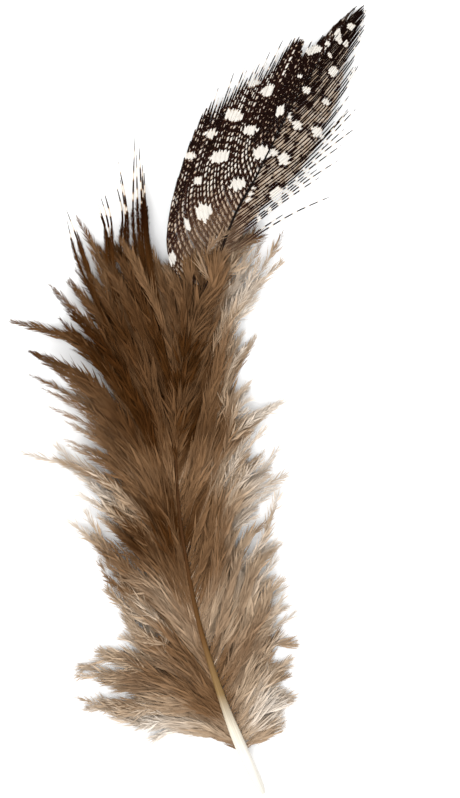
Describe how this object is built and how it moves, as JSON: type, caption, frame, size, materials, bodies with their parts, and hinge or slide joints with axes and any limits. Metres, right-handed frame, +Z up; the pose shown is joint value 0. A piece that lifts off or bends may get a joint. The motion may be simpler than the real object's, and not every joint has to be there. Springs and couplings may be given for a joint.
{
  "type": "guinea fowl feather",
  "caption": "Loose body feather lying flat: bare quill, brown fluffy down, a loose spray of banded barbs and a dark tip with white spots.",
  "frame": {"origin": "on the table, under the middle of the feather's bounding box", "axes": "+Y from the quill's bare end towards the spotted tip, +Z up from the table, +X to the right when the tip points away"},
  "size_m": [0.0568, 0.1266, 0.0079],
  "materials": {
    "horn": "smooth pale horn, browner towards the tip",
    "down": "soft, matt and fluffy",
    "web": "dark barbs with cream flecks and white spots"
  },
  "bodies": {
    "root": {"shaft": "horn", "left_down": "down", "right_down": "down", "left_spray": "web", "left_web": "web", "right_web": "web"}
  },
  "joints": []
}
